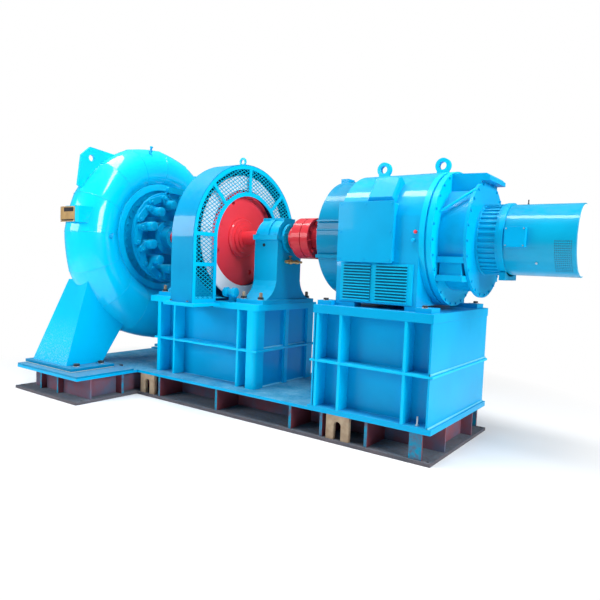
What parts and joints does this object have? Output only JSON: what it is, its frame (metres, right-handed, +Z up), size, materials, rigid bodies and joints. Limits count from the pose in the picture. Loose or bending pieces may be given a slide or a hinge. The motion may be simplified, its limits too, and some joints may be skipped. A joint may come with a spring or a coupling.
{
  "type": "hydroelectric generating set",
  "caption": "Horizontal hydroelectric generating set: spiral-cased water turbine, guarded flywheel, coupled generator and exciter on welded base boxes and a steel foundation frame.",
  "frame": {"origin": "On the underside of the foundation frame, in the upright plane of the shaft, below the middle of the flywheel.", "axes": "X along the shaft from the turbine to the exciter, Y across it away from the side in the picture, Z up."},
  "size_m": [5.487, 2.828, 2.8304],
  "materials": {
    "blue_casting": "gloss enamel over cast iron",
    "blue_paint": "gloss enamel over steel",
    "brass": "etched sheet, blank",
    "bright_steel": "turned, oiled",
    "frame_grey": "worn paint with mill scale",
    "mesh_steel": "painted expanded metal",
    "pale_enamel": "satin pale enamel",
    "primer": "red-oxide primer, dusty",
    "red_paint": "gloss enamel"
  },
  "bodies": {
    "frame": {"cross_frame_sole_plate": "primer", "cross_frame_top_plate": "frame_grey", "main_frame_sole_plate": "primer", "main_frame_top_plate": "frame_grey", "frame_webs": "primer", "frame_stiffeners": "primer", "frame_cross_webs": "primer", "splice_lugs": "primer", "box_side_walls": "blue_paint", "box_end_walls": "blue_paint", "box_upright_ribs": "blue_paint", "box_girth_ribs": "blue_paint", "box_bottom_flanges": "blue_paint", "flywheel_box_top_plate": "blue_paint", "generator_box_top_plate": "blue_paint", "guard_shelves": "blue_paint", "spiral_case": "blue_paint", "inlet_pipe": "blue_paint", "stay_ring": "blue_casting", "head_cover": "blue_casting", "shaft_seal_housing": "blue_casting", "draft_side_cover": "blue_casting", "draft_cone": "blue_paint", "guide_vane_levers": "blue_casting", "guide_vane_links": "blue_casting", "operating_ring": "blue_casting", "regulating_rod": "blue_casting", "lifting_lugs": "blue_paint", "nameplate": "brass", "nameplate_bracket": "blue_paint", "turbine_legs": "blue_paint", "leg_foot_plates": "blue_paint", "leg_packer_plates": "blue_paint", "bearing_pedestals": "blue_casting", "bearing_caps": "blue_casting", "bearing_end_covers": "blue_casting", "brake_jack": "blue_casting", "guard_shell": "blue_paint", "guard_frames": "blue_paint", "guard_mesh_panels": "mesh_steel", "lifting_eyes": "blue_casting", "stator_frame": "blue_paint", "drive_end_hood": "blue_paint", "rear_flange_ring": "blue_casting", "rear_end_cover": "blue_paint", "air_outlet_box": "blue_paint", "generator_feet": "blue_paint", "terminal_box": "blue_paint", "louvre_panel": "blue_paint", "junction_box": "blue_paint", "exciter_stator_ring": "blue_casting", "exciter_cover": "blue_paint", "exciter_end_cap": "pale_enamel", "exciter_terminal_box": "blue_paint"},
    "rotor": {"main_shaft": "red_paint", "flywheel_rim": "bright_steel", "flywheel_web": "red_paint", "runner": "bright_steel", "coupling_turbine_half": "red_paint", "coupling_generator_half": "red_paint"}
  },
  "joints": [
    {"name": "rotor_spin", "type": "hinge", "parent": "frame", "child": "rotor", "pos_m": [0, 0, 1.77], "axis": [1, 0, 0], "continuous": true}
  ]
}
